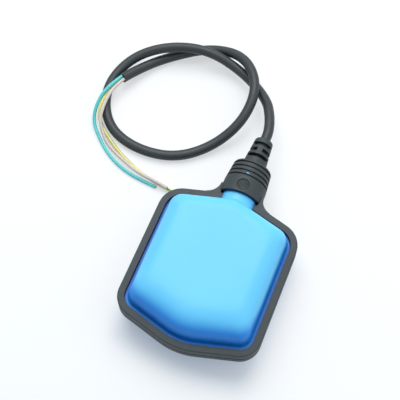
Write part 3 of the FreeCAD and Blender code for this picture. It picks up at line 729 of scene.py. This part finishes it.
class TubeTree(GeometryTree):
    """Round tube along a polyline, which notes where round the tube a point lies."""

    def __init__(self) -> None:
        """Build the tree."""
        super().__init__("tube_along_route")
        tree = self.tree
        radius = self.size("Radius")
        sides = self.size("Sides", "NodeSocketInt")
        material = self.size("Material", "NodeSocketMaterial")
        route = add_node(tree, "GeometryNodeMeshToCurve",
                         inputs={"Mesh": self.entry.outputs["Geometry"]})
        ring = add_node(tree, "GeometryNodeCurvePrimitiveCircle",
                        inputs={"Resolution": sides, "Radius": radius})
        noted = add_node(tree, "GeometryNodeCaptureAttribute", {"domain": "POINT"},
                         {"Geometry": ring})
        noted.capture_items.new("VECTOR", "Place")
        place = add_node(tree, "GeometryNodeInputPosition").outputs["Position"]
        tree.links.new(place, noted.inputs["Place"])
        tube = add_node(tree, "GeometryNodeCurveToMesh", inputs={
            "Curve": route, "Profile Curve": noted.outputs["Geometry"], "Fill Caps": True,
        })
        unit = add_node(tree, VECTOR_MATHS, {"operation": "NORMALIZE"},
                        {0: noted.outputs["Place"]})
        stored = add_node(
            tree, "GeometryNodeStoreNamedAttribute", {"data_type": "FLOAT_VECTOR"},
            {"Geometry": tube, "Name": SECTION_ATTRIBUTE, "Value": unit},
        )
        smooth = add_node(tree, "GeometryNodeSetShadeSmooth", inputs={"Geometry": stored})
        self.close(smooth, material)


class StrandTree(GeometryTree):
    """Bundle of short wire strands, one standing on each point that goes in."""

    SIDES = 8
    SEED = 7
    GREATEST = 3  # the random number's upper end, by the index of its socket

    def __init__(self) -> None:
        """Build the tree."""
        super().__init__("strand_bundle")
        tree = self.tree
        radius = self.size("Strand Radius")
        length = self.size("Length")
        ragged = self.size("Ragged")
        turn = self.size("Turn", "NodeSocketRotation")
        material = self.size("Material", "NodeSocketMaterial")
        strand = add_node(tree, "GeometryNodeMeshCylinder", inputs={
            "Vertices": self.SIDES, "Radius": radius, "Depth": length,
        })
        spread = add_node(tree, "FunctionNodeRandomValue", {"data_type": "FLOAT"},
                          {"Seed": self.SEED, self.GREATEST: ragged}).outputs[1]
        lift = add_node(tree, "ShaderNodeCombineXYZ", inputs={"Z": spread})
        stood = add_node(tree, "GeometryNodeInstanceOnPoints", inputs={
            "Points": self.entry.outputs["Geometry"], "Instance": strand, "Rotation": turn,
        })
        moved = add_node(tree, "GeometryNodeTranslateInstances", inputs={
            "Instances": stood, "Translation": lift, "Local Space": True,
        })
        self.close(moved, material)


# ---- meshes -----------------------------------------------------------------------
def new_object(data: bpy.types.ID) -> bpy.types.Object:
    """Put a mesh, curve, lamp or camera into the scene.

    Args:
        data: what the object holds.

    Returns:
        The new object, which has the name of its data.
    """
    made = bpy.data.objects.new(data.name, data)
    bpy.context.scene.collection.objects.link(made)
    return made


def point_object(points: Iterable[Vector], name: str, joined: bool) -> bpy.types.Object:
    """Make an object of points.

    Args:
        points: where they lie.
        name: what the object and its mesh are called.
        joined: whether edges join them in their order.

    Returns:
        The object.
    """
    places = [tuple(point) for point in points]
    edges = [(i, i + 1) for i in range(len(places) - 1)] if joined else []
    mesh = bpy.data.meshes.new(name)
    mesh.from_pydata(places, edges, [])
    return new_object(mesh)


def smooth_but_sharp(mesh: bpy.types.Mesh) -> None:
    """Shade a mesh smooth, apart from the edges that turn sharply."""
    mesh.shade_smooth()
    mesh.set_sharp_from_angle(angle=math.radians(SHARP_DEGREES))


# ---- cable and cores -----------------------------------------------------------------
class CutEnd(Enum):
    """How the far end of a cord is finished."""

    JACKET = "jacket stripped back, filler set in"
    CORE = "core cut square, copper showing"


@dataclass
class Cord:
    """One free cord: its route, its size and how its far end is cut.

    The line that it lies on is a smooth NURBS spline through the route's points
    as control points.
    """

    name: str
    node: str
    slot: str
    finish: Finish
    diameter: float
    route: Route
    end: CutEnd
    sides: int = 32
    steps: int = 12
    wall: float = 0.0009
    recess: float = 0.0008
    slant: float = 0.05  # of the recess's side, as a share of the wall
    line: list[Vector] = field(default_factory=list)

    def follow(self) -> None:
        """Work out the smooth line that the cord lies on."""
        curve = bpy.data.curves.new(self.name, "CURVE")
        curve.dimensions = "3D"
        curve.resolution_u = self.steps
        spline = curve.splines.new("NURBS")
        spline.points.add(len(self.route) - 1)
        for point, place in zip(spline.points, self.route):
            point.co = (*place, 1.0)
        spline.order_u = 3
        spline.use_endpoint_u = True
        holder = new_object(curve)
        evaluated = holder.evaluated_get(bpy.context.evaluated_depsgraph_get())
        mesh = bpy.data.meshes.new_from_object(evaluated)
        self.line = [vertex.co.copy() for vertex in mesh.vertices]
        bpy.data.objects.remove(holder)
        bpy.data.curves.remove(curve)
        bpy.data.meshes.remove(mesh)

    def length(self) -> float:
        """Return the length of the cord's line."""
        return sum((b - a).length for a, b in zip(self.line, self.line[1:]))

    def heading(self) -> Vector:
        """Return the direction that the cord's far end points in."""
        return (self.line[-1] - self.line[-2]).normalized()

    def build(self, tube: TubeTree, material: bpy.types.Material) -> bpy.types.Object:
        """Build the cord's tube with its cut end.

        Args:
            tube: the tree that makes tubes.
            material: the cord's finish.

        Returns:
            The cord's object.
        """
        self.follow()
        mesh = tube.run(
            point_object(self.line, self.name, True), self.name,
            {"Radius": self.diameter / 2, "Sides": self.sides, "Material": material},
        )
        self.cut(mesh)
        return new_object(mesh)

    def cut(self, mesh: bpy.types.Mesh) -> None:
        """Sink the far end's middle, which leaves the wall of the sleeve standing.

        Args:
            mesh: the cord's tube, which is changed.
        """
        work = bmesh.new()
        work.from_mesh(mesh)
        tip = self.line[-1]
        heading = self.heading()
        caps = [face for face in work.faces if len(face.verts) == self.sides]
        last = min(caps, key=lambda face: (face.calc_center_median() - tip).length)
        bmesh.ops.inset_region(work, faces=[last], thickness=self.wall)
        bmesh.ops.inset_region(work, faces=[last], thickness=self.wall * self.slant)
        for vert in last.verts:
            vert.co -= heading * self.recess
        work.to_mesh(mesh)
        work.free()
        smooth_but_sharp(mesh)

    def declare(self, piece: bpy.types.Object, riders: list[bpy.types.Object]) -> None:
        """Attach the cord to the float body and hide the model's part that it stands in
        for.

        Args:
            piece: the cord's object.
            riders: the separate pieces on it; not used.
        """
        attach(piece, "float_body")
        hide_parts(self.node)


@dataclass
class CableSet:
    """The cable with its three bared cores and the copper in their ends."""

    cable_diameter: float = 0.0070
    core_diameter: float = 0.0024
    core_sides: int = 20
    core_wall: float = 0.00045
    core_recess: float = 0.0003
    strand_radius: float = 0.00013
    strand_rings: tuple[int, ...] = (1, 6, 12)
    strand_spacing: float = 2.1  # in strand radii
    strand_length: float = 0.004
    strand_proud: float = 0.0001
    strand_ragged: float = 0.0002
    core_ring: float = 0.0015
    core_names: tuple[str, ...] = ("blue", "earth", "brown")
    core_twist: float = 45.0
    cable_route: Route = (
        (0.0, 0.0700, 0.0215), (0.0, 0.07825, 0.0215),
        (0.0, 0.0865, 0.0215), (-0.0035, 0.0985, 0.0200), (-0.0110, 0.1135, 0.0150),
        (-0.0345, 0.1330, 0.0070), (-0.0645, 0.1380, 0.0140), (-0.0940, 0.1300, 0.0135),
        (-0.1165, 0.1135, 0.0080), (-0.1245, 0.0865, 0.0035), (-0.1110, 0.0590, 0.0035),
        (-0.0865, 0.0485, 0.0035), (-0.0565, 0.0515, 0.0035), (-0.0345, 0.0700, 0.0040),
        (-0.0200, 0.0925, 0.0140), (-0.0200, 0.1190, 0.0205), (-0.0385, 0.1420, 0.0155),
        (-0.0665, 0.1450, 0.0055), (-0.0910, 0.1285, 0.0035), (-0.1065, 0.1110, 0.0050),
        (-0.1140, 0.0950, 0.0095),
    )
    blue_route: Route = (
        (-0.1188, 0.0855, 0.0123), (-0.1225, 0.0740, 0.0105), (-0.1220, 0.0590, 0.0035),
        (-0.1110, 0.0470, 0.0013), (-0.0985, 0.0370, 0.0013), (-0.0835, 0.0305, 0.0013),
        (-0.0675, 0.0280, 0.0013), (-0.0595, 0.0275, 0.0013),
    )
    brown_route: Route = (
        (-0.1170, 0.0850, 0.0103), (-0.1175, 0.0710, 0.0104), (-0.1155, 0.0570, 0.0075),
        (-0.1050, 0.0455, 0.0017), (-0.0905, 0.0380, 0.0037), (-0.0755, 0.0320, 0.0039),
        (-0.0595, 0.0300, 0.0046), (-0.0515, 0.0285, 0.0042),
    )
    earth_route: Route = (
        (-0.1190, 0.0850, 0.0086), (-0.1202, 0.0700, 0.0090), (-0.1170, 0.0590, 0.0035),
        (-0.1010, 0.0470, 0.0013), (-0.0875, 0.0393, 0.0013), (-0.0735, 0.0335, 0.0013),
        (-0.0590, 0.0304, 0.0013), (-0.0480, 0.0286, 0.0013),
    )

    def core_start(self, name: str) -> Place:
        """Return the place in the cable's cut end where a core comes out.

        Args:
            name: which core.

        Returns:
            The middle of the core in the cut face.
        """
        last, before = Vector(self.cable_route[-1]), Vector(self.cable_route[-2])
        heading = (last - before).normalized()
        side = heading.cross(Vector((0, 0, 1))).normalized()
        rise = side.cross(heading)
        step = 2 * math.pi / len(self.core_names)
        turn = math.radians(self.core_twist) + step * self.core_names.index(name)
        outwards = side * math.sin(turn) + rise * math.cos(turn)
        return tuple(last + self.core_ring * outwards)

    def cords(self) -> list[Cord]:
        """List the cable and its three cores.

        Returns:
            The cords, not yet built.
        """
        core = {"diameter": self.core_diameter, "end": CutEnd.CORE,
                "sides": self.core_sides, "wall": self.core_wall,
                "recess": self.core_recess}
        return [
            Cord("cable_jacket", "cable", "black_cable_rubber", JACKET,
                 self.cable_diameter, self.cable_route, CutEnd.JACKET),
            Cord("core_blue", "wire_blue", "blue_insulation", CORE_BLUE,
                 route=(self.core_start("blue"), *self.blue_route), **core),
            Cord("core_brown", "wire_brown", "brown_insulation", CORE_BROWN,
                 route=(self.core_start("brown"), *self.brown_route), **core),
            Cord("core_earth", "wire_earth", "earth_insulation", CORE_EARTH,
                 route=(self.core_start("earth"), *self.earth_route), **core),
        ]

    def strand_places(self, tip: Vector, heading: Vector) -> list[Vector]:
        """Return the strands' middles in rings about a core's axis.

        Args:
            tip: the middle of the core's cut face.
            heading: the direction that the core ends in.

        Returns:
            One place for each strand.
        """
        side = heading.cross(Vector((0, 0, 1))).normalized()
        rise = side.cross(heading)
        places = []
        for ring, count in enumerate(self.strand_rings):
            reach = ring * self.strand_spacing * self.strand_radius
            for index in range(count):
                turn = 2 * math.pi * index / count
                away = side * reach * math.cos(turn) + rise * reach * math.sin(turn)
                places.append(tip + away)
        return places

    def copper(
        self, cord: Cord, strands: StrandTree, material: bpy.types.Material
    ) -> bpy.types.Object:
        """Build the copper that shows in a core's cut end.

        Args:
            cord: the core.
            strands: the tree that makes strand bundles.
            material: the copper.

        Returns:
            The bundle's object.
        """
        heading = cord.heading()
        middle = cord.line[-1] - heading * (self.strand_length / 2 - self.strand_proud)
        bundle = strands.run(
            point_object(self.strand_places(middle, heading), "points", False),
            cord.name + "_copper",
            {"Strand Radius": self.strand_radius, "Length": self.strand_length,
             "Ragged": self.strand_ragged, "Material": material,
             "Turn": heading.to_track_quat("Z", "Y").to_euler()},
        )
        smooth_but_sharp(bundle)
        return new_object(bundle)

    def build(self) -> None:
        tube = TubeTree()
        strands = StrandTree()
        copper = COPPER.material()
        for cord in self.cords():
            piece = cord.build(tube, cord.finish.material())
            riders = []
            if cord.end is CutEnd.CORE:
                bundle = self.copper(cord, strands, copper)
                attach(bundle, "float_body")
                riders.append(bundle)
            cord.declare(piece, riders)
            log.info("%s: %.1f mm long", cord.name, cord.length() / MM)


# ---- dressing of the solid pieces --------------------------------------------------------
@dataclass
class SolidPieces:
    """Finishes for the pieces whose solids are shown as they are."""

    nodes: dict[str, bpy.types.Object]
    finishes: dict[str, Finish] = field(default_factory=lambda: {
        "upper_shell": SHELL, "lower_shell": SHELL,
        "rim_overmould": RIM, "strain_relief": RELIEF,
        "switch_carrier": NYLON, "carrier_cover": NYLON,
        "carrier_screws": ZINC, "cover_screws": ZINC, "switch_screws": ZINC,
        "steel_ball": BEARING, "switch_base": PHENOLIC, "switch_cover": PHENOLIC,
        "switch_plunger": ACETAL, "actuator_lever": SPRING, "lever_pin": SPRING,
        "snap_blade": BRASS, "common_terminal": BRASS, "open_terminal": BRASS,
        "closed_terminal": BRASS, "tab_receptacles": TINNED,
        "lead_common": CORE_BROWN, "lead_open": CORE_BLUE, "lead_closed": CORE_EARTH,
        "potting_plug": RESIN,
    })

    def dress(self) -> None:
        """Give each solid its material."""
        made: dict[str, bpy.types.Material] = {}
        for name, finish in self.finishes.items():
            if finish.name not in made:
                made[finish.name] = finish.material()
            mesh = self.nodes[name].data
            mesh.materials.clear()
            mesh.materials.append(made[finish.name])
            log.info("%s: %s", name, finish.name)


# ---- studio ----------------------------------------------------------------------------
def stand(data: bpy.types.ID, place: Place, aim: Place) -> bpy.types.Object:
    """Put a lamp or a camera into the scene, turned towards a point.

    Args:
        data: the lamp or the camera.
        place: where it stands.
        aim: what it points at.

    Returns:
        The new object.
    """
    made = new_object(data)
    made.location = place
    heading = Vector(aim) - Vector(place)
    made.rotation_euler = heading.to_track_quat("-Z", "Y").to_euler()
    return made


@dataclass(frozen=True)
class SoftBox:
    """A square lamp with a soft edge, aimed at the float."""

    name: str
    place: Place
    size: float
    watts: float
    aim: Place = (0.0, 0.0, 0.02)

    def hang(self) -> None:
        """Put the lamp into the scene."""
        data = bpy.data.lights.new(self.name, "AREA")
        data.shape = "SQUARE"
        data.size = self.size
        data.energy = self.watts
        stand(data, self.place, self.aim)


@dataclass
class Studio:
    """Pale floor, soft lamps, sky and the camera.

    The sky's fade goes by direction along Y, from -1 in front to 1 behind.
    """

    camera_place: Place = (0.0701, -0.2107, 0.5583)
    camera_aim: Place = (-0.0279, 0.0304, 0.0)
    camera_near: float = 0.01
    lens_mm: float = 81.0
    sensor_mm: float = 36.0
    floor_reach: float = 3.0
    floor_paper: str = "#f6f6f4"
    glow_near: str = "#f8fbfd"
    glow_far: str = "#ffffff"
    glow_fade: tuple[float, float] = (-0.22, 0.02)
    glow_share: float = 0.55
    pool_share: float = 0.26
    pool_middle: Place = (0.0, -0.026, 0.0)
    pool_half: Place = (0.038, 0.050, 1.0)
    pool_fade: float = 0.020
    sky: str = "#eef4fb"
    sky_low: str = "#8ccaf6"
    sky_seen: str = "#ffffff"
    sky_fade: tuple[float, float] = (-0.9, 0.5)
    sky_front: float = 0.24
    sky_back: float = 1.0
    lamps: tuple[SoftBox, ...] = (
        SoftBox("key_over_far_end", (-0.22, 0.45, 0.93), 0.8, 7.6),
        SoftBox("fill_from_right", (0.80, 0.10, 0.90), 1.0, 1.4),
    )

    def camera(self) -> None:
        """Set the camera up."""
        data = bpy.data.cameras.new("camera")
        data.lens = self.lens_mm
        data.sensor_width = self.sensor_mm
        data.clip_start = self.camera_near
        bpy.context.scene.camera = stand(data, self.camera_place, self.camera_aim)

    @staticmethod
    def seen(tree: Tree) -> Socket:
        """Tell the rays that show a surface from those that light others.

        Args:
            tree: the material's or the world's tree.

        Returns:
            1 for rays that show a surface as it is, and 0 for rays that light.
        """
        rays = add_node(tree, "ShaderNodeLightPath").outputs
        shown = rays["Is Camera Ray"]
        for other in (rays["Is Glossy Ray"], rays["Is Transmission Ray"]):
            shown = add_node(tree, MATHS, {"operation": "MAXIMUM"},
                             {0: shown, 1: other}).outputs[0]
        return shown

    @staticmethod
    def fade(tree: Tree, place: Socket, span: tuple[float, float]) -> Socket:
        """Rise softly between two places along Y.

        Args:
            tree: the material's or the world's tree.
            place: the coordinates that the fade reads.
            span: where it starts and ends.

        Returns:
            A value from 0 to 1.
        """
        along = add_node(tree, PARTS, inputs={0: place}).outputs["Y"]
        return add_node(tree, RANGE, SOFT, {
            "Value": along, "From Min": span[0], "From Max": span[1],
        }).outputs["Result"]

    def glow(self, tree: Tree, place: Socket) -> Socket:
        """Let the paper glow less close round the float, under its shadow.

        Args:
            tree: the paper's tree.
            place: the coordinates that the glow reads.

        Returns:
            How much the paper glows, from 0 to 1.
        """
        away = place
        for operation, other in (("SUBTRACT", self.pool_middle), ("ABSOLUTE", ORIGIN),
                                 ("SUBTRACT", self.pool_half), ("MAXIMUM", ORIGIN)):
            away = add_node(tree, VECTOR_MATHS, {"operation": operation},
                            {0: away, 1: other})
        reach = add_node(tree, VECTOR_MATHS, {"operation": "LENGTH"}, {0: away})
        close = add_node(tree, RANGE, SOFT, {
            "Value": reach.outputs["Value"], "From Min": 0.0, "From Max": self.pool_fade,
            **FALLING,
        })
        return add_node(tree, MATHS, {"operation": "MULTIPLY_ADD"}, {
            0: close, 1: self.pool_share - self.glow_share, 2: self.glow_share,
        }).outputs[0]

    def floor(self) -> None:
        """Lay the floor, white paper that glows a little so that shadows stay light."""
        reach = self.floor_reach
        corners = [(x * reach, y * reach, 0.0)
                   for x, y in ((-1, -1), (1, -1), (1, 1), (-1, 1))]
        mesh = bpy.data.meshes.new("floor")
        mesh.from_pydata(corners, [], [(0, 1, 2, 3)])
        material = bpy.data.materials.new("studio_paper_white")
        tree = emptied(material)
        place = add_node(tree, "ShaderNodeTexCoord").outputs["Object"]
        glow = add_node(tree, MIX, COLOURS, {
            SHARE: self.fade(tree, place, self.glow_fade),
            FIRST: to_linear(self.glow_near), SECOND: to_linear(self.glow_far),
        }).outputs[MIXED]
        paper = add_node(tree, "ShaderNodeBsdfDiffuse",
                         inputs={"Color": to_linear(self.floor_paper)})
        light = add_node(tree, "ShaderNodeEmission", inputs={"Color": glow})
        share = add_node(tree, MATHS, {"operation": "MULTIPLY"},
                         {0: self.seen(tree), 1: self.glow(tree, place)})
        both = add_node(tree, "ShaderNodeMixShader", inputs={0: share, 1: paper, 2: light})
        add_node(tree, "ShaderNodeOutputMaterial", inputs={"Surface": both})
        mesh.materials.append(material)
        new_object(mesh)

    def sky_light(self) -> None:
        """Light the scene from all round, less from the front, and show white behind it."""
        world = bpy.data.worlds.new("studio")
        tree = emptied(world)
        place = add_node(tree, "ShaderNodeTexCoord").outputs["Generated"]
        turn = self.fade(tree, place, self.sky_fade)
        seen = self.seen(tree)
        strength = add_node(tree, RANGE, inputs={
            "Value": turn, "To Min": self.sky_front, "To Max": self.sky_back,
        })
        shown = add_node(tree, MIX, {"data_type": "FLOAT"},
                         {SHARE: seen, "A": strength, "B": 1.0})
        tint = add_node(tree, MIX, COLOURS, {
            SHARE: turn, FIRST: to_linear(self.sky_low), SECOND: to_linear(self.sky),
        }).outputs[MIXED]
        colour = add_node(tree, MIX, COLOURS, {
            SHARE: seen, FIRST: tint, SECOND: to_linear(self.sky_seen),
        }).outputs[MIXED]
        back = add_node(tree, "ShaderNodeBackground",
                        inputs={"Color": colour, "Strength": shown})
        add_node(tree, "ShaderNodeOutputWorld", inputs={"Surface": back})
        bpy.context.scene.world = world

    def build(self) -> None:
        """Set up the camera, the floor, the sky and the lamps."""
        self.camera()
        self.floor()
        self.sky_light()
        for lamp in self.lamps:
            lamp.hang()
        bpy.context.scene.view_settings.view_transform = "Standard"
        log.info("studio set up")


def main() -> None:
    """Load the frame and build every sub-assembly in order."""
    logging.basicConfig(level=logging.INFO, format="%(message)s")
    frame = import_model()
    Studio().build()
    CableSet().build()
    SolidPieces(frame["nodes"]).dress()


if __name__ == "__main__":
    main()
